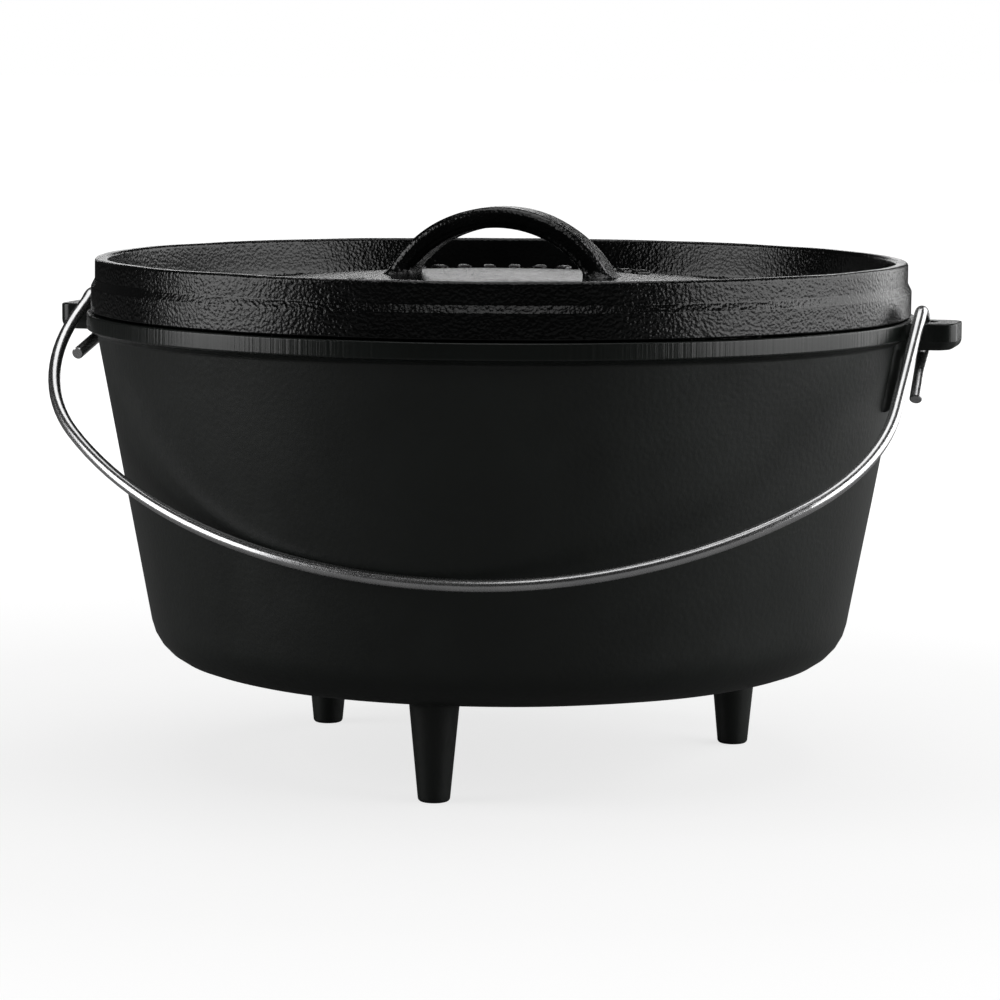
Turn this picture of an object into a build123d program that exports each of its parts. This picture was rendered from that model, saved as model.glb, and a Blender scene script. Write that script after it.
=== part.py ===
"""A footed cast iron dutch oven: pot, flanged lid and wire bail.

Millimetres. +Z is up and the feet stand on Z = 0. The ears lie along X, and one foot points to -Y,
the side on which the bail hangs.
"""

import os
from math import asin, atan, cos, degrees, hypot, pi, radians, sin

from build123d import *

# ---------------------------------------------------------------- pot
leg_height = 40.0  # from the ground to the underside of the pot
leg_count = 3
leg_inset = 35.9  # from the base radius in to the circle that the legs stand on
leg_foot_radius = 6.0
leg_root_radius = 9.8
leg_root_fillet = 4.0
leg_foot_fillet = 1.5

pot_height = 137.7  # from the underside of the pot to the top of its rim
base_radius = 135.4  # outer wall, carried down to the underside
top_radius = 160.8  # outer wall, carried up to the rim's top
wall = 5.0
floor_thickness = 6.0
base_corner = 20.0
inner_corner = 16.0

rim_proud = 2.5  # how far the rim's band stands out of the wall
rim_band = 6.3  # height of the band
rim_blend = 2.4  # slope under the band
rim_fillet = 0.8

# ---------------------------------------------------------------- ears
ear_proud = 20.7  # from the wall, carried up to the rim's top, out to the ear's tip
ear_width = 25.0
ear_thickness = 10.2
ear_corner = 5.0
ear_under_fillet = 3.5
ear_hole_offset = 7.2  # from the wall out to the hole's axis
ear_hole_radius = 5.0
ear_rib_proud = 3.3
ear_rib_length = 21.0
ear_rib_flare = 4.0
ear_rib_fade = 2.0  # fillet at the rib's lower end

# ---------------------------------------------------------------- lid
seat_gap = 0.3  # between the lid's seat and the rim
lid_height = 21.2  # from the seat to the top of the lip
lid_inset = 1.8  # the lid's edge stands this far inside the rim's band
ledge_step = 1.5  # from the lid's edge in to the outside of its lip
ledge_low = 9.9  # heights of the sloping ledge above the seat
ledge_high = 12.9
lip_thickness = 5.0
lip_draft = 1.0
lip_fillet = 1.6
tray_height = 3.5  # plate's top at the lip, above the seat
tray_fillet = 4.0
dome_rise = 11.9  # plate's centre above its edge
plate = 5.0
spigot_depth = 4.0  # ring that locates the lid in the pot's mouth
spigot_width = 4.0
spigot_clearance = 0.8  # to the wall, at the ring's lower edge

# ---------------------------------------------------------------- handle on the lid
handle_radius = 52.0  # outer arc
handle_rise = 25.8  # above the plate's centre
handle_thickness = 8.4
handle_width = 19.0
handle_edge = 3.0
handle_sink = 3.0  # how far the feet reach into the plate

# ---------------------------------------------------------------- bail
wire_radius = 2.38
hook_clearance = 0.7  # between the wire and the corners of the ear's front web
bow_fall = 0.9714  # depth of the bow as a share of its half width
crown_drift = 0.1173  # how far the crown sits to one side, as a share of the half width
crown_flat = {-1: 1.3095, 1: 1.0357}  # radius of the crown's arc on each side, as a share
crown_turn = {-1: 50.0, 1: 44.5}
leg_lean = {-1: 10.0, 1: -2.0}  # outward lean of each leg
lean_bend = 30.0
tail_turn = {-1: 77.0, 1: 50.0}  # how far each hook goes on round, below the ear
tail_length = {-1: 21.0, 1: 25.0}
wire_end_chamfer = 0.4
rest_gap = 0.3  # between the hanging bail and the wall
bow_samples = 400  # points tried along the bow when it is let down
angle_step = 1e-6

# ---------------------------------------------------------------- worked out from the sizes above
wall_slope = (top_radius - base_radius) / pot_height
leg_circle = base_radius - leg_inset
floor_z = leg_height + floor_thickness
rim_z = leg_height + pot_height
rim_radius = top_radius + rim_proud
mouth_radius = top_radius - wall
ear_z = rim_z - ear_thickness
ear_tip = top_radius + ear_proud
ear_hole_reach = top_radius + ear_hole_offset

lid_radius = rim_radius - lid_inset
lid_lip_radius = lid_radius - ledge_step
seat_z = rim_z + seat_gap
lid_z = seat_z + lid_height
lip_inner = lid_lip_radius - lip_thickness
tray_z = seat_z + tray_height
dome_z = tray_z + dome_rise
spigot_z = rim_z - spigot_depth

web_width = ear_width / 2 - ear_hole_radius
hinge_y = -(ear_width / 2 + ear_hole_radius) / 2  # middle of the web in front of the hole
hinge_z = rim_z - ear_thickness / 2
ring_radius = hypot(web_width, ear_thickness) / 2 + hook_clearance + wire_radius
bow_depth = ear_hole_reach * bow_fall
crown_shift = ear_hole_reach * crown_drift


def wall_radius(z):
    """Outer radius of the tapered wall at a height."""
    return base_radius + (z - leg_height) * wall_slope


spigot_radius = wall_radius(spigot_z) - wall - spigot_clearance


def dome_arc(centre, edge):
    """Shallow arc that is level over the axis and comes down to an edge."""
    drop = centre[1] - edge[1]
    radius = (edge[0] ** 2 + drop**2) / (2 * drop)
    return JernArc(centre, (1, 0), radius, -degrees(asin(edge[0] / radius)))


def corner(sketch, place):
    """Corner of a sketch nearest a place, picked anew each time because a fillet renews them all."""
    return sketch.vertices().sort_by_distance(place)[0]


def pot_outline():
    """Outside of the pot with its rim band, from the underside to the rim's top."""
    band_z = rim_z - rim_band
    Polyline(
        (0, leg_height),
        (base_radius, leg_height),
        (wall_radius(band_z - rim_blend), band_z - rim_blend),
        (rim_radius, band_z),
        (rim_radius, rim_z),
        (0, rim_z),
        close=True,
    )


def cavity_outline():
    """Inside of the pot, parallel to the wall."""
    Polyline(
        (0, floor_z),
        (wall_radius(floor_z) - wall, floor_z),
        (mouth_radius, rim_z),
        (0, rim_z),
        close=True,
    )


# ---------------------------------------------------------------- one ear, with the rib that carries it
with BuildPart() as ear:
    rib_z = ear_z - ear_rib_length
    ear_root = mouth_radius + wall / 4  # starts inside the wall, short of the mouth
    rib_top = (wall_radius(ear_z) + ear_rib_proud, ear_z)
    rib_foot = (wall_radius(rib_z) + ear_rib_proud, rib_z)
    with BuildSketch(Plane.XZ) as side:
        with BuildLine():
            Polyline(
                (ear_root, rim_z),
                (ear_tip, rim_z),
                (ear_tip, ear_z),
                rib_top,
                rib_foot,
                (wall_radius(rib_z) - wall / 2, rib_z - ear_rib_proud),
                (wall_radius(ear_z) - wall / 2, ear_z),
                close=True,
            )
        make_face()
        fillet(corner(side, (ear_tip, ear_z)), ear_under_fillet)
        fillet(corner(side, rib_top), ear_rib_flare)
        fillet(corner(side, rib_foot), ear_rib_fade)
    extrude(amount=ear_width / 2, both=True)
    with BuildSketch(Plane.XY.offset(rim_z)):
        with Locations((ear_tip / 2, 0)):
            plan = Rectangle(ear_tip, ear_width)
        fillet(plan.vertices().group_by(Axis.X)[-1], ear_corner)
        with Locations((ear_hole_reach, 0)):
            Circle(ear_hole_radius, mode=Mode.SUBTRACT)
    extrude(amount=-pot_height, mode=Mode.INTERSECT)

# ---------------------------------------------------------------- pot: bowl, legs and ears in one casting
with BuildPart() as pot:
    with BuildSketch(Plane.XZ) as body:
        with BuildLine():
            pot_outline()
        make_face()
        fillet(corner(body, (base_radius, leg_height)), base_corner)
        fillet(body.vertices().sort_by(Axis.X)[-2:], rim_fillet)
    revolve(axis=Axis.Z)

    # legs: round, tapered, under the flat of the base
    leg_sink = floor_thickness / 2
    leg_flare = (leg_root_radius - leg_foot_radius) / leg_height
    with PolarLocations(leg_circle, leg_count, start_angle=-90):
        Cone(
            leg_foot_radius,
            leg_root_radius + leg_sink * leg_flare,
            leg_height + leg_sink,
            align=(Align.CENTER, Align.CENTER, Align.MIN),
        )
    fillet(pot.edges().group_by(Axis.Z)[0], leg_foot_fillet)
    leg_roots = pot.edges().filter_by(
        lambda e: e.geom_type == GeomType.CIRCLE and abs(e.radius - leg_root_radius) < leg_sink
    )
    fillet(leg_roots, leg_root_fillet)

    # cavity, then the ears on opposite sides of the rim
    with BuildSketch(Plane.XZ) as cavity:
        with BuildLine():
            cavity_outline()
        make_face()
        fillet(corner(cavity, (wall_radius(floor_z) - wall, floor_z)), inner_corner)
    revolve(axis=Axis.Z, mode=Mode.SUBTRACT)
    add(ear.part)
    add(ear.part.mirror(Plane.YZ))
    pot.part.label = "pot"

# ---------------------------------------------------------------- lid: plate, lip, spigot and handle
with BuildPart() as lid:
    with BuildSketch(Plane.XZ) as plate_side:
        with BuildLine():
            spigot_inner = spigot_radius - spigot_width
            top_edge = (lip_inner - lip_draft, tray_z)
            under_edge = (spigot_inner, tray_z - plate)
            Line((0, dome_z), (0, dome_z - plate))
            dome_arc((0, dome_z - plate), under_edge)
            Polyline(
                under_edge,
                (spigot_inner, spigot_z),
                (spigot_radius, spigot_z),
                (spigot_radius, seat_z),
                (lid_radius, seat_z),
                (lid_radius, seat_z + ledge_low),
                (lid_lip_radius, seat_z + ledge_high),
                (lid_lip_radius, lid_z),
                (lip_inner, lid_z),
                top_edge,
            )
            dome_arc((0, dome_z), top_edge)
        make_face()
        fillet(plate_side.vertices().group_by(Axis.Y)[-1], lip_fillet)
        fillet(corner(plate_side, top_edge), tray_fillet)
    revolve(axis=Axis.Z)

    # handle: a cast arch standing on the plate, in line with the ears
    arch_z = dome_z + handle_rise - handle_radius
    foot_z = dome_z - handle_sink
    with BuildSketch(Plane.XZ) as arch:
        with Locations((0, arch_z)):
            Circle(handle_radius)
            Circle(handle_radius - handle_thickness, mode=Mode.SUBTRACT)
        with Locations((0, foot_z)):
            above_foot = (Align.CENTER, Align.MIN)
            Rectangle(2 * handle_radius, handle_radius, align=above_foot, mode=Mode.INTERSECT)
    handle = extrude(arch.sketch, amount=handle_width / 2, both=True, mode=Mode.PRIVATE)
    handle = handle.fillet(handle_edge, handle.edges().filter_by(GeomType.CIRCLE))
    add(handle)
    lid.part.label = "lid"

# ---------------------------------------------------------------- bail: one bent wire
def wall_gap(angle, points):
    """Least gap from the wire to the wall, with the bow's plane at an angle from straight down."""
    gaps = []
    for point in points:
        y = hinge_y - ring_radius * cos(angle) + point.Y * sin(angle)
        z = hinge_z + ring_radius * sin(angle) + point.Y * cos(angle)
        gaps.append((hypot(point.X, y) - wall_radius(z)) * cos(atan(wall_slope)) - wire_radius)
    return min(gaps)


def resting_angle(points):
    """Angle at which the bow, let down from the front, comes to rest on the wall."""
    clear, touching = pi / 2, 0
    while clear - touching > angle_step:
        middle = (clear + touching) / 2
        if wall_gap(middle, points) > rest_gap:
            clear = middle
        else:
            touching = middle
    return clear


def bow_side(side):
    """Half of the bow, from its crown up to one hook: two arcs, a straight leg and a slight bend."""
    reach = ear_hole_reach - side * crown_shift
    crown_radius = ear_hole_reach * crown_flat[side]
    lean = radians(leg_lean[side])
    turn = radians(crown_turn[side])
    swing = lean_bend if lean > 0 else -lean_bend
    leg_top = Vector(reach + swing * (1 - cos(lean)), -swing * sin(lean))
    inward = Vector(-cos(lean), -sin(lean))
    shoulder_dir = Vector(sin(turn), -cos(turn))
    crown_end = Vector(0, crown_radius - bow_depth) + shoulder_dir * crown_radius
    shoulder = (crown_end - leg_top).dot(inward) / (1 + shoulder_dir.dot(inward))

    crown = JernArc((crown_shift, -bow_depth), (side, 0), crown_radius, side * crown_turn[side])
    bend = JernArc(crown @ 1, crown % 1, shoulder, side * (90 + leg_lean[side] - crown_turn[side]))
    leg = Line(bend @ 1, (crown_shift + side * leg_top.X, leg_top.Y))
    JernArc(leg @ 1, leg % 1, lean_bend, -side * leg_lean[side])


def hook(side, start):
    """Hook in its own upright plane: round the web, down through the hole and out below the ear."""
    ring = CenterArc((0, 0), ring_radius, start, -(start + tail_turn[side]))
    Line(ring @ 1, (ring @ 1) + (ring % 1) * tail_length[side])


with BuildPart() as bail:
    with BuildLine() as bow:
        bow_side(-1)
        bow_side(1)
    hang_angle = resting_angle([bow.line @ (i / bow_samples) for i in range(bow_samples + 1)])
    bow_plane = Plane(
        origin=(0, hinge_y - ring_radius * cos(hang_angle), hinge_z + ring_radius * sin(hang_angle)),
        x_dir=(1, 0, 0),
        z_dir=(0, -cos(hang_angle), sin(hang_angle)),
    )
    with BuildLine() as left_hook:
        hook(-1, 180 - degrees(hang_angle))
    with BuildLine() as right_hook:
        hook(1, 180 - degrees(hang_angle))
    with BuildLine() as wire:
        add(bow.line.moved(bow_plane.location))
        for side, shape in ((-1, left_hook), (1, right_hook)):
            hook_plane = Plane((side * ear_hole_reach, hinge_y, hinge_z), x_dir=(0, 1, 0), z_dir=(1, 0, 0))
            add(shape.line.moved(hook_plane.location))
    route = wire.wire()
    with BuildSketch(Plane(route @ 0, z_dir=route % 0)):
        Circle(wire_radius)
    sweep(path=route)
    chamfer(bail.faces().filter_by(GeomType.PLANE).edges(), wire_end_chamfer)
    bail.part.label = "bail"

os.makedirs("parts", exist_ok=True)
for piece in (pot, lid, bail):
    export_step(piece.part, f"parts/{piece.part.label}.step")
    box = piece.part.bounding_box()
    print(piece.part.label, "valid", piece.part.is_valid, "volume", round(piece.part.volume), box)
print("bail hangs at", round(degrees(hang_angle), 2), "degrees; wire length", round(route.length, 1))
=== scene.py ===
import math

import bmesh
import bpy
from mathutils import Matrix, Vector, noise


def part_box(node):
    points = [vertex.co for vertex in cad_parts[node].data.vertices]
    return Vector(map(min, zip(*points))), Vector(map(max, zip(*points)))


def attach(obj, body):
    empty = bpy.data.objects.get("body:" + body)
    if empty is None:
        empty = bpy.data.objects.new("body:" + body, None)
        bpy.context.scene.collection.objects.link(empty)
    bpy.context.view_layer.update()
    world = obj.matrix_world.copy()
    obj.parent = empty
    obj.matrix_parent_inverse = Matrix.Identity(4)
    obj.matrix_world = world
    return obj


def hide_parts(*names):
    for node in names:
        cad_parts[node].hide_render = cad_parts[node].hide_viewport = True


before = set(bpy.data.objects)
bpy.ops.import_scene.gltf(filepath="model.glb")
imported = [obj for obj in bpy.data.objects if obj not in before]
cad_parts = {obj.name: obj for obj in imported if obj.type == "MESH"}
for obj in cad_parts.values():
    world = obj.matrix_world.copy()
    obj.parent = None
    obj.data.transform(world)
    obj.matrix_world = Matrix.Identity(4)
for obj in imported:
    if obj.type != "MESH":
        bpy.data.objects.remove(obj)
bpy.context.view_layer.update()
scene = bpy.context.scene
mm = 0.001
print("stage: frame loaded")


def link(name, mesh):
    piece = bpy.data.objects.new(name, mesh)
    scene.collection.objects.link(piece)
    return piece


# Turns (radius, height, fillet) corners, in mm, into plain points, with each fillet as an arc.
def roundCorners(corners, arcSteps=6):
    points = []
    for i, (r, z, fillet) in enumerate(corners):
        here = Vector((r, z))
        if not fillet:
            points.append(here)
            continue
        before = (Vector(corners[i - 1][:2]) - here).normalized()
        after = (Vector(corners[i + 1][:2]) - here).normalized()
        half = before.angle(after) / 2
        centre = here + (before + after).normalized() * fillet / math.sin(half)
        start = here + before * fillet / math.tan(half) - centre
        turn = start.angle_signed(here + after * fillet / math.tan(half) - centre)
        for step in range(arcSteps + 1):
            arm = start.copy()
            arm.rotate(Matrix.Rotation(-turn * step / arcSteps, 2))
            points.append(centre + arm)
    return points


# Adds points, evenly spaced, so that no run is longer than a given length in mm.
def splitLongRuns(points, longest):
    out = [points[0]]
    for a, b in zip(points, points[1:]):
        pieces = max(1, math.ceil((b - a).length / longest))
        out += [a.lerp(b, k / pieces) for k in range(1, pieces + 1)]
    return out


# Closed body turned about Z, through (radius, height) points in mm that start and end on the axis.
def lathe(name, points, segments):
    mesh = bpy.data.meshes.new(name)
    bm = bmesh.new()
    rings = []
    for r, z in points:
        turns = [math.tau * k / segments for k in range(1 if r < 1e-6 else segments)]
        rings.append([bm.verts.new(Vector((r * math.cos(a), r * math.sin(a), z)) * mm) for a in turns])
    for low, high in zip(rings, rings[1:]):
        for k in range(segments):
            n = (k + 1) % segments
            if len(low) == 1:
                bm.faces.new((low[0], high[n], high[k]))
            elif len(high) == 1:
                bm.faces.new((low[k], low[n], high[0]))
            else:
                bm.faces.new((low[k], low[n], high[n], high[k]))
    bmesh.ops.recalc_face_normals(bm, faces=bm.faces)
    bm.to_mesh(mesh)
    bm.free()
    return link(name, mesh)


# Closed body through rows of points in mm, each row a loop of the same number of points.
def skin(name, rows):
    mesh = bpy.data.meshes.new(name)
    bm = bmesh.new()
    loops = [[bm.verts.new(Vector(p) * mm) for p in row] for row in rows]
    count = len(loops[0])
    for low, high in zip(loops, loops[1:]):
        for k in range(count):
            n = (k + 1) % count
            bm.faces.new((low[k], low[n], high[n], high[k]))
    for loop in (loops[0], loops[-1]):
        middle = bm.verts.new(sum((v.co for v in loop), Vector()) / count)
        for k in range(count):
            bm.faces.new((loop[k], loop[(k + 1) % count], middle))
    bmesh.ops.recalc_face_normals(bm, faces=bm.faces)
    bm.to_mesh(mesh)
    bm.free()
    return link(name, mesh)


def applyModifiers(piece):
    bpy.context.view_layer.update()
    shaped = piece.evaluated_get(bpy.context.evaluated_depsgraph_get())
    mesh = bpy.data.meshes.new_from_object(shaped)
    piece.modifiers.clear()
    piece.data = mesh


# Boolean of two closed bodies; the tool is used up.
def combine(base, tool, operation):
    mod = base.modifiers.new("cut", "BOOLEAN")
    mod.operation = operation
    mod.solver = "EXACT"
    mod.object = tool
    applyModifiers(base)
    bpy.data.objects.remove(tool)
    if not base.data.polygons:
        raise RuntimeError(f"{base.name}: the {operation.lower()} came out empty")


waveGain = 1.6  # noise seldom comes near its limits of -1 and 1


# A cast skin is never quite true: a slow noise moves it inwards by up to depth mm.
def castUneven(piece, depth, size, seed):
    offset = Vector((seed, 0.37 * seed, -seed))
    normals = [v.normal.copy() for v in piece.data.vertices]
    for v, n in zip(piece.data.vertices, normals):
        wave = noise.noise(v.co / (size * mm) + offset)
        v.co -= n * (0.5 - 0.5 * max(-1, min(1, waveGain * wave))) * depth * mm


# Merges doubles, points faces outwards and shades smooth up to an angle in degrees.
def finishSurface(piece, sharpAngle):
    bm = bmesh.new()
    bm.from_mesh(piece.data)
    bmesh.ops.remove_doubles(bm, verts=bm.verts, dist=1e-6)
    bmesh.ops.dissolve_degenerate(bm, edges=bm.edges, dist=1e-6)
    bmesh.ops.recalc_face_normals(bm, faces=bm.faces)
    bm.to_mesh(piece.data)
    bm.free()
    for face in piece.data.polygons:
        face.use_smooth = True
    piece.data.set_sharp_from_angle(angle=math.radians(sharpAngle))


# Flat faces keep flat shading next to fillets.
def weightNormals(piece):
    mod = piece.modifiers.new("weight", "WEIGHTED_NORMAL")
    mod.keep_sharp = True
    applyModifiers(piece)


# Geometry Nodes tree that stands copies of a piece round Z, each turned with its place on the circle.
def makePolarTree():
    tree = bpy.data.node_groups.new("polarRepeat", "GeometryNodeTree")
    face = tree.interface
    face.new_socket("Geometry", in_out="INPUT", socket_type="NodeSocketGeometry")
    face.new_socket("Piece", in_out="INPUT", socket_type="NodeSocketObject")
    face.new_socket("Count", in_out="INPUT", socket_type="NodeSocketInt")
    face.new_socket("Circle Radius", in_out="INPUT", socket_type="NodeSocketFloat")
    face.new_socket("Start Angle", in_out="INPUT", socket_type="NodeSocketFloat")
    face.new_socket("Step Angle", in_out="INPUT", socket_type="NodeSocketFloat")
    face.new_socket("Material", in_out="INPUT", socket_type="NodeSocketMaterial")
    face.new_socket("Geometry", in_out="OUTPUT", socket_type="NodeSocketGeometry")
    add, wire = tree.nodes.new, tree.links.new
    given, result = add("NodeGroupInput"), add("NodeGroupOutput")

    index = add("GeometryNodeInputIndex")
    angle = add("ShaderNodeMath")
    angle.operation = "MULTIPLY_ADD"
    wire(index.outputs[0], angle.inputs[0])
    wire(given.outputs["Step Angle"], angle.inputs[1])
    wire(given.outputs["Start Angle"], angle.inputs[2])
    spin = add("ShaderNodeCombineXYZ")
    wire(angle.outputs[0], spin.inputs["Z"])

    reach = add("ShaderNodeCombineXYZ")
    wire(given.outputs["Circle Radius"], reach.inputs["X"])
    outward = add("ShaderNodeVectorRotate")
    outward.rotation_type = "Z_AXIS"
    wire(reach.outputs[0], outward.inputs["Vector"])
    wire(angle.outputs[0], outward.inputs["Angle"])
    points = add("GeometryNodePoints")
    wire(given.outputs["Count"], points.inputs["Count"])
    wire(outward.outputs[0], points.inputs["Position"])

    rotation = add("FunctionNodeEulerToRotation")
    wire(spin.outputs[0], rotation.inputs[0])
    source = add("GeometryNodeObjectInfo")
    wire(given.outputs["Piece"], source.inputs["Object"])
    place = add("GeometryNodeInstanceOnPoints")
    wire(points.outputs[0], place.inputs["Points"])
    wire(source.outputs["Geometry"], place.inputs["Instance"])
    wire(rotation.outputs[0], place.inputs["Rotation"])
    real = add("GeometryNodeRealizeInstances")
    wire(place.outputs["Instances"], real.inputs["Geometry"])
    paint = add("GeometryNodeSetMaterial")
    wire(real.outputs["Geometry"], paint.inputs["Geometry"])
    wire(given.outputs["Material"], paint.inputs["Material"])
    wire(paint.outputs["Geometry"], result.inputs["Geometry"])
    return tree


polarTree = makePolarTree()


# The source piece is used up; what comes back is one plain mesh.
def polarRepeat(name, piece, count, radius, startAngle, stepAngle, material):
    ring = link(name, bpy.data.meshes.new(name))
    mod = ring.modifiers.new("repeat", "NODES")
    mod.node_group = polarTree
    values = {
        "Piece": piece,
        "Count": count,
        "Circle Radius": radius * mm,
        "Start Angle": math.radians(startAngle),
        "Step Angle": math.radians(stepAngle),
        "Material": material,
    }
    for item in polarTree.interface.items_tree:
        if item.in_out == "INPUT" and item.name in values:
            mod[item.identifier] = values[item.name]
    applyModifiers(ring)
    bpy.data.objects.remove(piece)
    return ring


# Shader group: relief of sand-cast iron, with a slow mottling for the baked-on oil.
def makeCastGroup():
    tree = bpy.data.node_groups.new("castSkin", "ShaderNodeTree")
    face = tree.interface
    face.new_socket("Vector", in_out="INPUT", socket_type="NodeSocketVector")
    for label in ("Pebbles Per Metre", "Grit Per Metre", "Grit Share", "Stains Per Metre"):
        face.new_socket(label, in_out="INPUT", socket_type="NodeSocketFloat")
    for label in ("Height", "Mottle", "Grit"):
        face.new_socket(label, in_out="OUTPUT", socket_type="NodeSocketFloat")
    add, wire = tree.nodes.new, tree.links.new
    given, result = add("NodeGroupInput"), add("NodeGroupOutput")

    pebbles = add("ShaderNodeTexVoronoi")
    pebbles.feature = "SMOOTH_F1"
    pebbles.inputs["Smoothness"].default_value = 0.7
    wire(given.outputs["Vector"], pebbles.inputs["Vector"])
    wire(given.outputs["Pebbles Per Metre"], pebbles.inputs["Scale"])
    lumps = add("ShaderNodeTexNoise")
    lumps.inputs["Detail"].default_value = 2.0
    lumps.inputs["Roughness"].default_value = 0.5
    wire(given.outputs["Vector"], lumps.inputs["Vector"])
    wire(given.outputs["Pebbles Per Metre"], lumps.inputs["Scale"])
    relief = add("ShaderNodeMath")
    relief.operation = "SUBTRACT"
    wire(lumps.outputs["Fac"], relief.inputs[0])
    wire(pebbles.outputs["Distance"], relief.inputs[1])

    grit = add("ShaderNodeTexNoise")
    grit.inputs["Detail"].default_value = 1.0
    wire(given.outputs["Vector"], grit.inputs["Vector"])
    wire(given.outputs["Grit Per Metre"], grit.inputs["Scale"])
    height = add("ShaderNodeMath")
    height.operation = "MULTIPLY_ADD"
    wire(grit.outputs["Fac"], height.inputs[0])
    wire(given.outputs["Grit Share"], height.inputs[1])
    wire(relief.outputs[0], height.inputs[2])

    mottle = add("ShaderNodeTexNoise")
    mottle.inputs["Detail"].default_value = 5.0
    mottle.inputs["Roughness"].default_value = 0.6
    mottle.inputs["Distortion"].default_value = 0.4
    wire(given.outputs["Vector"], mottle.inputs["Vector"])
    wire(given.outputs["Stains Per Metre"], mottle.inputs["Scale"])
    wire(height.outputs[0], result.inputs["Height"])
    wire(mottle.outputs["Fac"], result.inputs["Mottle"])
    wire(grit.outputs["Fac"], result.inputs["Grit"])
    return tree


castGroup = makeCastGroup()


def newMaterial(name):
    material = bpy.data.materials.new(name)
    material.use_nodes = True
    nodes = material.node_tree.nodes
    return material, nodes.new, material.node_tree.links.new, nodes["Principled BSDF"]


# Spreads a value that runs between two limits over another span.
def respan(add, wire, value, fromSpan, toSpan):
    node = add("ShaderNodeMapRange")
    node.inputs["From Min"].default_value, node.inputs["From Max"].default_value = fromSpan
    node.inputs["To Min"].default_value, node.inputs["To Max"].default_value = toSpan
    wire(value, node.inputs["Value"])
    return node.outputs["Result"]


def blendColors(add, wire, mask, first, second):
    node = add("ShaderNodeMix")
    node.data_type = "RGBA"
    node.inputs["A"].default_value = (*first, 1)
    node.inputs["B"].default_value = (*second, 1)
    wire(mask, node.inputs["Factor"])
    return node.outputs["Result"]


def castSkin(add, wire, look):
    place = add("ShaderNodeTexCoord")
    cast = add("ShaderNodeGroup")
    cast.node_tree = castGroup
    for label, key in (
        ("Pebbles Per Metre", "pebbles"),
        ("Grit Per Metre", "grit"),
        ("Grit Share", "gritShare"),
        ("Stains Per Metre", "stains"),
    ):
        cast.inputs[label].default_value = look[key]
    wire(place.outputs["Object"], cast.inputs["Vector"])
    return place, cast


noiseSpan = (0.32, 0.68)  # where nearly all of a noise texture's values lie

potIronLook = {
    "pebbles": 500.0,
    "grit": 1700.0,
    "gritShare": 0.5,
    "stains": 22.0,
    "dark": (0.0072, 0.0090, 0.0078),
    "light": (0.0114, 0.0142, 0.0124),
    "roughness": (0.38, 0.47),
    "reliefDepth": 0.045,
    "groundFrom": 170.8,  # the rim above this height, in mm, is ground smooth
    "groundRoughness": 0.26,
    "groundStreaks": 620.0,  # round the rim
    "streakHeight": 4.0,  # times the relief's depth
}
lidIronLook = {
    "pebbles": 820.0,
    "grit": 2200.0,
    "gritShare": 0.3,
    "stains": 34.0,
    "dark": (0.0012, 0.0014, 0.0014),
    "light": (0.0026, 0.0030, 0.0030),
    "roughness": (0.12, 0.20),
    "reliefDepth": 0.15,
}
steelLook = {
    "pebbles": 300.0,
    "grit": 2400.0,
    "gritShare": 0.3,
    "stains": 60.0,
    "dark": (0.66, 0.66, 0.67),
    "light": (0.82, 0.82, 0.82),
    "roughness": (0.18, 0.30),
    "reliefDepth": 0.006,
}


def addRelief(add, wire, shader, height, depth):
    bump = add("ShaderNodeBump")
    bump.inputs["Distance"].default_value = depth * mm
    wire(height, bump.inputs["Height"])
    wire(bump.outputs["Normal"], shader.inputs["Normal"])
    return bump


# Dull seasoned wall, and a rim with the fine upright streaks of the grinder.
def makePotIron(look):
    material, add, wire, shader = newMaterial("potIron")
    place, cast = castSkin(add, wire, look)
    stain = respan(add, wire, cast.outputs["Mottle"], noiseSpan, (0, 1))
    wire(blendColors(add, wire, stain, look["dark"], look["light"]), shader.inputs["Base Color"])

    axes = add("ShaderNodeSeparateXYZ")
    wire(place.outputs["Object"], axes.inputs[0])
    edge = look["groundFrom"] * mm
    ground = respan(add, wire, axes.outputs["Z"], (edge - mm, edge), (0, 1))
    turn = add("ShaderNodeMath")
    turn.operation = "ARCTAN2"
    wire(axes.outputs["Y"], turn.inputs[0])
    wire(axes.outputs["X"], turn.inputs[1])
    streaks = add("ShaderNodeTexNoise")
    streaks.noise_dimensions = "1D"
    streaks.inputs["Scale"].default_value = look["groundStreaks"] / math.tau
    streaks.inputs["Detail"].default_value = 3.0
    wire(turn.outputs[0], streaks.inputs["W"])

    rough = add("ShaderNodeMix")
    wire(ground, rough.inputs["Factor"])
    wire(respan(add, wire, cast.outputs["Mottle"], noiseSpan, look["roughness"]), rough.inputs["A"])
    rough.inputs["B"].default_value = look["groundRoughness"]
    wire(rough.outputs["Result"], shader.inputs["Roughness"])
    height = add("ShaderNodeMix")
    wire(ground, height.inputs["Factor"])
    wire(cast.outputs["Height"], height.inputs["A"])
    wire(respan(add, wire, streaks.outputs["Fac"], (0, 1), (0, look["streakHeight"])), height.inputs["B"])
    addRelief(add, wire, shader, height.outputs["Result"], look["reliefDepth"])
    return material


# Glossy, coarse sand-cast skin, black with oil.
def makeLidIron(look):
    material, add, wire, shader = newMaterial("lidIron")
    place, cast = castSkin(add, wire, look)
    stain = respan(add, wire, cast.outputs["Mottle"], noiseSpan, (0, 1))
    wire(blendColors(add, wire, stain, look["dark"], look["light"]), shader.inputs["Base Color"])
    wire(respan(add, wire, stain, (0, 1), look["roughness"]), shader.inputs["Roughness"])
    addRelief(add, wire, shader, cast.outputs["Height"], look["reliefDepth"])
    return material


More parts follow.
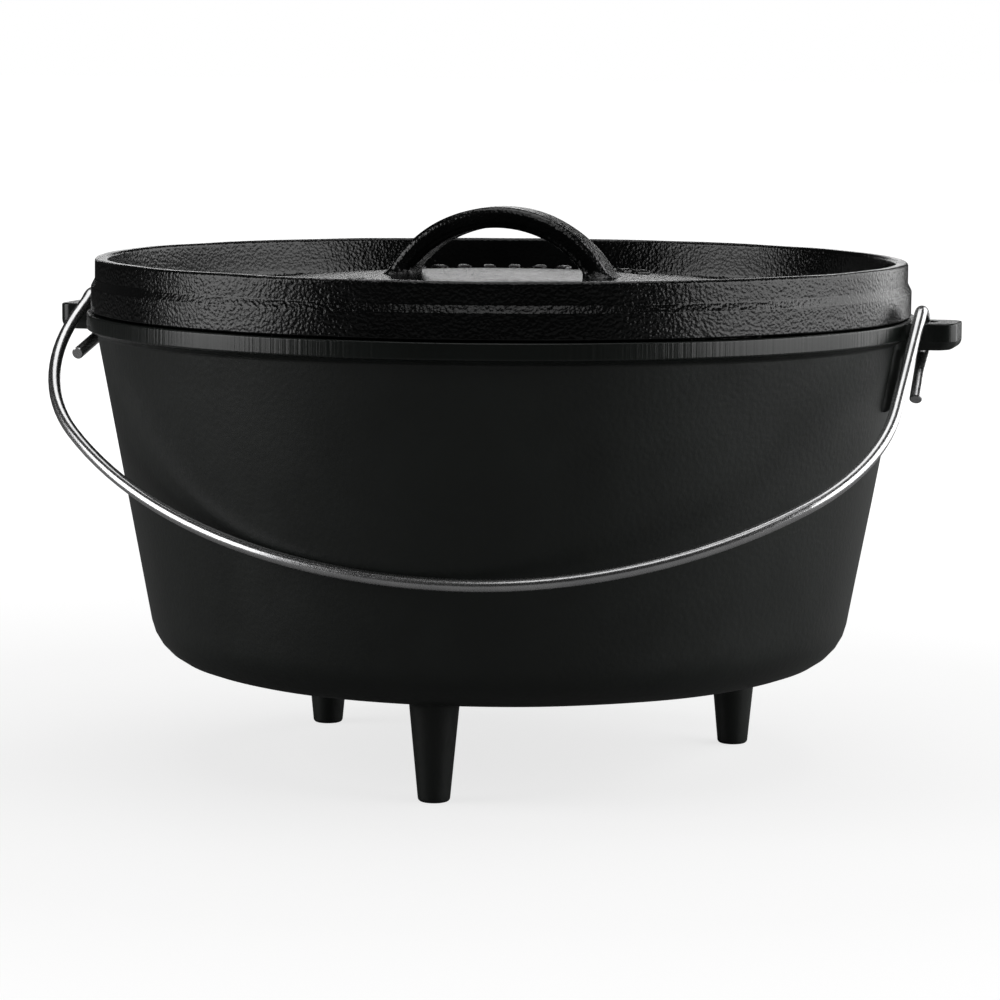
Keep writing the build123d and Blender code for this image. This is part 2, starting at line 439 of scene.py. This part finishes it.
# Bright drawn wire, a little dulled by handling.
def makeWireSteel(look):
    material, add, wire, shader = newMaterial("wireSteel")
    place, cast = castSkin(add, wire, look)
    stain = respan(add, wire, cast.outputs["Mottle"], noiseSpan, (0, 1))
    wire(blendColors(add, wire, stain, look["dark"], look["light"]), shader.inputs["Base Color"])
    wire(respan(add, wire, cast.outputs["Grit"], noiseSpan, look["roughness"]), shader.inputs["Roughness"])
    addRelief(add, wire, shader, cast.outputs["Grit"], look["reliefDepth"])
    shader.inputs["Metallic"].default_value = 1.0
    return material


potIron = makePotIron(potIronLook)
lidIron = makeLidIron(lidIronLook)
wireSteel = makeWireSteel(steelLook)
print("stage: materials made")

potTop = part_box("pot")[1] / mm
potSize = {
    "rimTop": potTop.z,
    "rimRadius": potTop.y,
    "underside": 40.0,
    "baseRadius": 135.4,
    "topRadius": 160.8,  # outside of the wall, carried up to the rim's top
    "wall": 5.0,
    "floor": 6.0,
    "baseCorner": 20.0,
    "innerCorner": 16.0,
    "band": 6.3,
    "bandSlope": 2.4,
    "slopeFillet": 1.2,
    "edge": 0.8,
    "segments": 288,
    "longestRun": 4.0,
    "uneven": 0.22,
    "unevenSize": 45.0,
    "unevenSeed": 3.1,
}


def wallRadius(z):
    s = potSize
    share = (z - s["underside"]) / (s["rimTop"] - s["underside"])
    return s["baseRadius"] + share * (s["topRadius"] - s["baseRadius"])


def makeBowl():
    s = potSize
    band = s["rimTop"] - s["band"]
    slope = band - s["bandSlope"]
    floor = s["underside"] + s["floor"]
    corners = [
        (0, s["underside"], 0),
        (s["baseRadius"], s["underside"], s["baseCorner"]),
        (wallRadius(slope), slope, s["slopeFillet"]),
        (s["rimRadius"], band, s["edge"]),
        (s["rimRadius"], s["rimTop"], s["edge"]),
        (s["topRadius"] - s["wall"], s["rimTop"], s["edge"]),
        (wallRadius(floor) - s["wall"], floor, s["innerCorner"]),
        (0, floor, 0),
    ]
    return lathe("potBody", splitLongRuns(roundCorners(corners), s["longestRun"]), s["segments"])


legSize = {
    "count": 3,
    "circle": 99.5,
    "firstAngle": -90,
    "step": 120,
    "sole": 6.0,
    "root": 9.8,
    "soleFillet": 1.5,
    "rootFillet": 4.0,
    "rootSpread": 4.8,  # how far out the root's fillet ends, and how far up inside the base
    "rootRise": 0.4,
    "sink": 3.0,
    "longestRun": 3.0,
    "segments": 48,
}


def makeLegs():
    s = legSize
    root = potSize["underside"]
    corners = [
        (0, 0, 0),
        (s["sole"], 0, s["soleFillet"]),
        (s["root"], root, s["rootFillet"]),
        (s["root"] + s["rootSpread"], root + s["rootRise"], 0),
        (s["root"], root + s["sink"], 0),
        (0, root + s["sink"], 0),
    ]
    leg = lathe("leg", splitLongRuns(roundCorners(corners), s["longestRun"]), s["segments"])
    return polarRepeat("legs", leg, s["count"], s["circle"], s["firstAngle"], s["step"], potIron)


earSize = {
    "tip": potTop.x,
    "halfWidth": 12.5,
    "thickness": 10.2,
    "corner": 5.0,
    "underFillet": 3.5,
    "edge": 0.7,
    "rootFlare": 3.0,
    "rootSink": 2.0,
    "ribProud": 3.3,
    "ribLength": 21.0,
    "ribFlare": 4.0,
    "ribCorner": 0.4,  # the rib's corner and the flare at its sides, as shares of how proud it is
    "ribSide": 0.5,
    "underGap": 0.02,  # keeps two rows apart where the rib ends and the tip begins
    "holeReach": 168.0,
    "holeRadius": 5.0,
    "holeEdge": 0.7,
    "holeSegments": 48,
}


def quarterTurn(steps):
    return [math.pi / 2 * k / steps for k in range(steps + 1)]


# Plan outline of the ear at one height, from inside the wall out to its tip and back.
def earRow(side, z, reach, halfWidth, corner, flare):
    s, p = earSize, potSize
    root = wallRadius(z) if z < p["rimTop"] - p["band"] else p["rimRadius"]
    rootX = math.sqrt(root**2 - (halfWidth + flare) ** 2)
    half = [(rootX - s["rootSink"], halfWidth + flare)]
    for a in quarterTurn(6):
        half.append((rootX + flare * (1 - math.cos(a)), halfWidth + flare * (1 - math.sin(a))))
    for a in quarterTurn(8):
        half.append((reach - corner * (1 - math.sin(a)), halfWidth - corner * (1 - math.cos(a))))
    loop = half + [(x, -y) for x, y in reversed(half)]
    return [(side * x, y, z) for x, y in loop]


def makeEar(side):
    s = earSize
    top, under = potSize["rimTop"], potSize["rimTop"] - s["thickness"]
    ribCorner, ribSide = s["ribCorner"] * s["ribProud"], s["ribSide"] * s["ribProud"]
    rows = []
    for a in quarterTurn(6)[1:]:  # the rib rises out of the wall
        z = under - s["ribLength"] - s["ribProud"] * math.cos(a)
        proud = s["ribProud"] * math.sin(a)
        rows.append((z, wallRadius(z) + proud, s["halfWidth"], s["ribCorner"] * proud, s["ribSide"] * proud))
    for a in quarterTurn(6):  # it flares out to the ear
        z = under - s["ribFlare"] * (1 - math.sin(a))
        proud = s["ribProud"] + s["ribFlare"] * (1 - math.cos(a))
        rows.append((z, wallRadius(z) + proud, s["halfWidth"], ribCorner, ribSide))
    for a in quarterTurn(6):  # rounded lower edge of the tip
        z = under + s["underGap"] + s["underFillet"] * (1 - math.cos(a))
        reach = s["tip"] - s["underFillet"] * (1 - math.sin(a))
        rows.append((z, reach, s["halfWidth"], s["corner"], s["rootFlare"]))
    for a in quarterTurn(3):  # softened top edge
        z = top - s["edge"] * (1 - math.sin(a))
        inset = s["edge"] * (1 - math.cos(a))
        rows.append((z, s["tip"] - inset, s["halfWidth"] - inset, s["corner"], s["rootFlare"]))
    ear = skin("ear", [earRow(side, *row) for row in rows])

    r, edge = s["holeRadius"], s["holeEdge"]
    drill = [
        (0, under - s["ribFlare"]),
        (r, under - s["ribFlare"]),
        (r, top - edge),
        (r + 0.3 * edge, top - 0.3 * edge),
        (r + 2 * edge, top + edge),
        (0, top + edge),
    ]
    hole = lathe("hole", drill, s["holeSegments"])
    hole.data.transform(Matrix.Translation((side * s["holeReach"] * mm, 0, 0)))
    combine(ear, hole, "DIFFERENCE")
    return ear


def dress(piece, material, node, body):
    piece.data.materials.clear()
    piece.data.materials.append(material)
    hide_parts(node)
    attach(piece, body)
    print("stage:", piece.name, len(piece.data.polygons), "faces")


creaseAngle = 38

pot = makeBowl()
castUneven(pot, potSize["uneven"], potSize["unevenSize"], potSize["unevenSeed"])
combine(pot, makeLegs(), "UNION")
combine(pot, makeEar(-1), "UNION")
combine(pot, makeEar(1), "UNION")
finishSurface(pot, creaseAngle)
weightNormals(pot)
dress(pot, potIron, "pot", "pot")

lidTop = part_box("lid")[1] / mm
lidSize = {
    "handleTop": lidTop.z,
    "edgeRadius": lidTop.y,
    "seat": potTop.z + 0.3,
    "height": 21.2,
    "lipRadius": 160.0,
    "ledgeLow": 9.9,
    "ledgeHigh": 12.9,
    "lip": 5.0,
    "lipDraft": 1.0,
    "lipFillet": 1.6,
    "tray": 3.5,  # the plate's top at the lip, above the seat
    "trayFillet": 4.0,
    "domeRise": 11.9,
    "plate": 5.0,
    "spigotRadius": 154.26,
    "spigotWidth": 4.0,
    "spigotDepth": 4.3,
    "edge": 0.9,
    "seatFillet": 0.63,
    "ledgeFillet": 1.17,
    "underFillet": 1.35,
    "domeRings": 40,
    "segments": 288,
    "longestRun": 4.0,
    "uneven": 0.25,
    "unevenSize": 30.0,
    "unevenSeed": 7.7,
}


# Height over the seat of a shallow arc, level over the axis, that comes down to a point.
def arcHeight(r, edgeRadius, edgeHeight, crownHeight):
    drop = crownHeight - edgeHeight
    ball = (edgeRadius**2 + drop**2) / (2 * drop)
    return crownHeight - ball + math.sqrt(ball**2 - r**2)


def domeTop(r):
    s = lidSize
    edge = s["lipRadius"] - s["lip"] - s["lipDraft"]
    return s["seat"] + arcHeight(min(r, edge), edge, s["tray"], s["tray"] + s["domeRise"])


def domeUnder(r):
    s = lidSize
    tray = s["tray"] - s["plate"]
    return s["seat"] + arcHeight(r, s["spigotRadius"] - s["spigotWidth"], tray, tray + s["domeRise"])


def makePlate():
    s = lidSize
    seat, top = s["seat"], s["seat"] + s["height"]
    lipInner = s["lipRadius"] - s["lip"]
    trayEdge = lipInner - s["lipDraft"]
    spigotInner = s["spigotRadius"] - s["spigotWidth"]
    spigotEnd = seat - s["spigotDepth"]
    rings = [k / s["domeRings"] for k in range(s["domeRings"] - 1)]
    under = [(spigotInner * k, domeUnder(spigotInner * k), 0) for k in rings]
    over = [(trayEdge * k, domeTop(trayEdge * k), 0) for k in reversed(rings)]
    rim = [
        (spigotInner, domeUnder(spigotInner), s["underFillet"]),
        (spigotInner, spigotEnd, s["edge"]),
        (s["spigotRadius"], spigotEnd, s["edge"]),
        (s["spigotRadius"], seat, s["seatFillet"]),
        (s["edgeRadius"], seat, s["edge"]),
        (s["edgeRadius"], seat + s["ledgeLow"], s["edge"]),
        (s["lipRadius"], seat + s["ledgeHigh"], s["ledgeFillet"]),
        (s["lipRadius"], top, s["lipFillet"]),
        (lipInner, top, s["lipFillet"]),
        (trayEdge, seat + s["tray"], s["trayFillet"]),
    ]
    outline = splitLongRuns(roundCorners(under + rim + over), s["longestRun"])
    return lathe("lidBody", outline, s["segments"])


handleSize = {
    "radius": 52.0,
    "thickness": 8.4,
    "width": 19.0,
    "edge": 3.0,
    "flare": 2.2,
    "sink": 2.5,
    "footReach": 0.8,  # where the feet meet the plate, as a share of the arch's radius
    "rows": 84,
    "uneven": 0.2,
    "unevenSize": 14.0,
    "unevenSeed": 2.3,
}


# Rounded rectangle as (radial, sideways) offsets.
def handleSection():
    s = handleSize
    loop = []
    corners = ((1, 1), (-1, 1), (-1, -1), (1, -1))
    for k, (outwards, sideways) in enumerate(corners):
        for a in quarterTurn(5):
            turn = a + k * math.pi / 2
            loop.append(
                (
                    outwards * (s["thickness"] / 2 - s["edge"]) + s["edge"] * math.cos(turn),
                    sideways * (s["width"] / 2 - s["edge"]) + s["edge"] * math.sin(turn),
                )
            )
    return loop


def makeHandle():
    s = handleSize
    middle = s["radius"] - s["thickness"] / 2
    centre = lidSize["handleTop"] - s["radius"]
    foot = math.acos((domeTop(s["footReach"] * middle) - s["sink"] - centre) / middle)
    rows = []
    for k in range(s["rows"] + 1):
        turn = foot * (2 * k / s["rows"] - 1)
        out = Vector((math.sin(turn), 0, math.cos(turn)))
        row = []
        for radial, sideways in handleSection():
            p = Vector((0, sideways, centre)) + out * (middle + radial)
            above = max(0, p.z - domeTop(math.hypot(p.x, p.y)))
            if above < s["flare"]:  # the cast fillet at the foot
                swell = s["flare"] - math.sqrt(s["flare"] ** 2 - (s["flare"] - above) ** 2)
                spread = Vector((out.x * radial, sideways, 0)).normalized()
                p += spread * swell
            row.append(p)
        rows.append(row)
    return skin("handle", rows)


markSize = {
    "count": 11,
    "circle": 65.0,
    "firstAngles": {"marksBack": 44, "marksFront": 224},
    "step": 9.2,
    "length": 7.4,
    "width": 4.8,
    "height": 1.3,
    "edge": 1.1,
    "edgeSteps": 3,
    "sink": 1.2,
}


# Plain raised bars in an arc on the plate, one arc behind the handle and one in front of it.
def makeMarks(name, firstAngle):
    s = markSize
    mesh = bpy.data.meshes.new("mark")
    bm = bmesh.new()
    bmesh.ops.create_cube(bm, size=mm)
    tall = s["height"] + s["sink"]
    bmesh.ops.scale(bm, vec=(s["length"], s["width"], tall), verts=bm.verts)
    bmesh.ops.bevel(
        bm,
        geom=bm.edges,
        offset=s["edge"] * mm,
        segments=s["edgeSteps"],
        profile=0.5,
        affect="EDGES",
        clamp_overlap=True,
    )
    level = domeTop(s["circle"]) + s["height"] - tall / 2
    bmesh.ops.translate(bm, vec=(0, 0, level * mm), verts=bm.verts)
    bm.to_mesh(mesh)
    bm.free()
    return polarRepeat(name, link("mark", mesh), s["count"], s["circle"], firstAngle, s["step"], lidIron)


lid = makePlate()
castUneven(lid, lidSize["uneven"], lidSize["unevenSize"], lidSize["unevenSeed"])
handle = makeHandle()
castUneven(handle, handleSize["uneven"], handleSize["unevenSize"], handleSize["unevenSeed"])
combine(lid, handle, "UNION")
for name, firstAngle in markSize["firstAngles"].items():
    combine(lid, makeMarks(name, firstAngle), "UNION")
finishSurface(lid, creaseAngle)
weightNormals(lid)
dress(lid, lidIron, "lid", "lid")

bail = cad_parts["bail"]
bail.data.materials.clear()
bail.data.materials.append(wireSteel)
print("stage: bail dressed")

cameraSet = {
    "azimuth": 14.0,
    "distance": 1.4635,
    "height": 0.2782,
    "tilt": 6.848,  # degrees below the horizon
    "roll": 0.383,
    "lens": 133.2,
    "sensor": 36.0,
}


# A point by its azimuth round the pot, in degrees to the right of the camera.
def aroundCamera(azimuth, distance, height):
    a = math.radians(cameraSet["azimuth"] + azimuth)
    return Vector((math.sin(a) * distance, -math.cos(a) * distance, height))


def makeCamera():
    s = cameraSet
    camera = bpy.data.objects.new("camera", bpy.data.cameras.new("camera"))
    scene.collection.objects.link(camera)
    camera.data.lens = s["lens"]
    camera.data.sensor_width = s["sensor"]
    camera.location = aroundCamera(0, s["distance"], s["height"])
    turn = Matrix.Rotation(math.radians(s["azimuth"]), 4, "Z")
    tilt = Matrix.Rotation(math.radians(90 - s["tilt"]), 4, "X")
    roll = Matrix.Rotation(math.radians(s["roll"]), 4, "Z")
    camera.rotation_euler = (turn @ tilt @ roll).to_euler()
    scene.camera = camera


# Soft panels: azimuth from the camera, distance, height of the middle, width and height in metres,
# and how bright the panel looks.
lightSet = {
    "left": (-78, 1.5, 0.50, 1.05, 1.2, 2.6),
    "right": (74, 1.5, 0.50, 1.35, 1.2, 2.6),
    "backRight": (122, 1.5, 0.50, 1.45, 1.2, 1.7),
    "back": (182, 2.0, 0.32, 1.1, 0.26, 1.5),
    "top": (180, 0.4, 1.9, 1.5, 1.5, 1.3),
    "front": (0, 1.2, 1.9, 1.3, 0.8, 1.1),
}
lightAim = Vector((0, 0, 0.12))


def makePanel(name, azimuth, distance, height, width, tall, brightness):
    data = bpy.data.lights.new(name, "AREA")
    data.shape = "RECTANGLE"
    data.size, data.size_y = width, tall
    data.energy = brightness * math.pi * width * tall
    panel = bpy.data.objects.new(name, data)
    scene.collection.objects.link(panel)
    panel.location = aroundCamera(azimuth, distance, height)
    panel.rotation_euler = (lightAim - panel.location).to_track_quat("-Z", "Y").to_euler()
    panel.visible_camera = False


stageSet = {
    "floorSize": 40.0,
    "floorColor": (0.85, 0.85, 0.85),
    "floorBounce": (0.24, 0.24, 0.24),  # as the object sees the floor
    "glowSpan": (0.30, 1.20),  # metres from the pot, over which the floor goes over to plain white
    "nearGlow": 1.25,
    "farGlow": 1.80,
    "floorSeen": 0.40,  # how much of the lit floor the camera sees
    "worldFill": 0.02,
}


def makeFloor():
    s = stageSet
    size = s["floorSize"]
    mesh = bpy.data.meshes.new("floor")
    corners = [(-size, -size, 0), (size, -size, 0), (size, size, 0), (-size, size, 0)]
    mesh.from_pydata(corners, [], [(0, 1, 2, 3)])
    floor = link("floor", mesh)
    material, add, wire, shader = newMaterial("paleFloor")
    seen = add("ShaderNodeLightPath")
    wire(
        blendColors(add, wire, seen.outputs["Is Camera Ray"], s["floorBounce"], s["floorColor"]),
        shader.inputs["Base Color"],
    )
    shader.inputs["Roughness"].default_value = 1.0
    shader.inputs["Specular IOR Level"].default_value = 0.0
    place = add("ShaderNodeTexCoord")
    away = add("ShaderNodeVectorMath")
    away.operation = "LENGTH"
    wire(place.outputs["Object"], away.inputs[0])
    glow = add("ShaderNodeEmission")
    strength = respan(add, wire, away.outputs["Value"], s["glowSpan"], (s["nearGlow"], s["farGlow"]))
    wire(strength, glow.inputs["Strength"])
    mix = add("ShaderNodeMixShader")
    share = respan(add, wire, seen.outputs["Is Camera Ray"], (0, 1), (0, 1 - s["floorSeen"]))
    wire(share, mix.inputs["Fac"])
    wire(shader.outputs["BSDF"], mix.inputs[1])
    wire(glow.outputs["Emission"], mix.inputs[2])
    wire(mix.outputs["Shader"], material.node_tree.nodes["Material Output"].inputs["Surface"])
    mesh.materials.append(material)


def makeWorld():
    world = bpy.data.worlds.new("studioWorld")
    scene.world = world
    world.use_nodes = True
    add, wire = world.node_tree.nodes.new, world.node_tree.links.new
    back = world.node_tree.nodes["Background"]
    seen = add("ShaderNodeLightPath")
    back.inputs["Color"].default_value = (1, 1, 1, 1)
    level = respan(add, wire, seen.outputs["Is Camera Ray"], (0, 1), (stageSet["worldFill"], 1))
    wire(level, back.inputs["Strength"])


makeCamera()
makeFloor()
makeWorld()
for name, values in lightSet.items():
    makePanel(name + "Panel", *values)
scene.view_settings.view_transform = "Standard"
print("stage: studio set up")
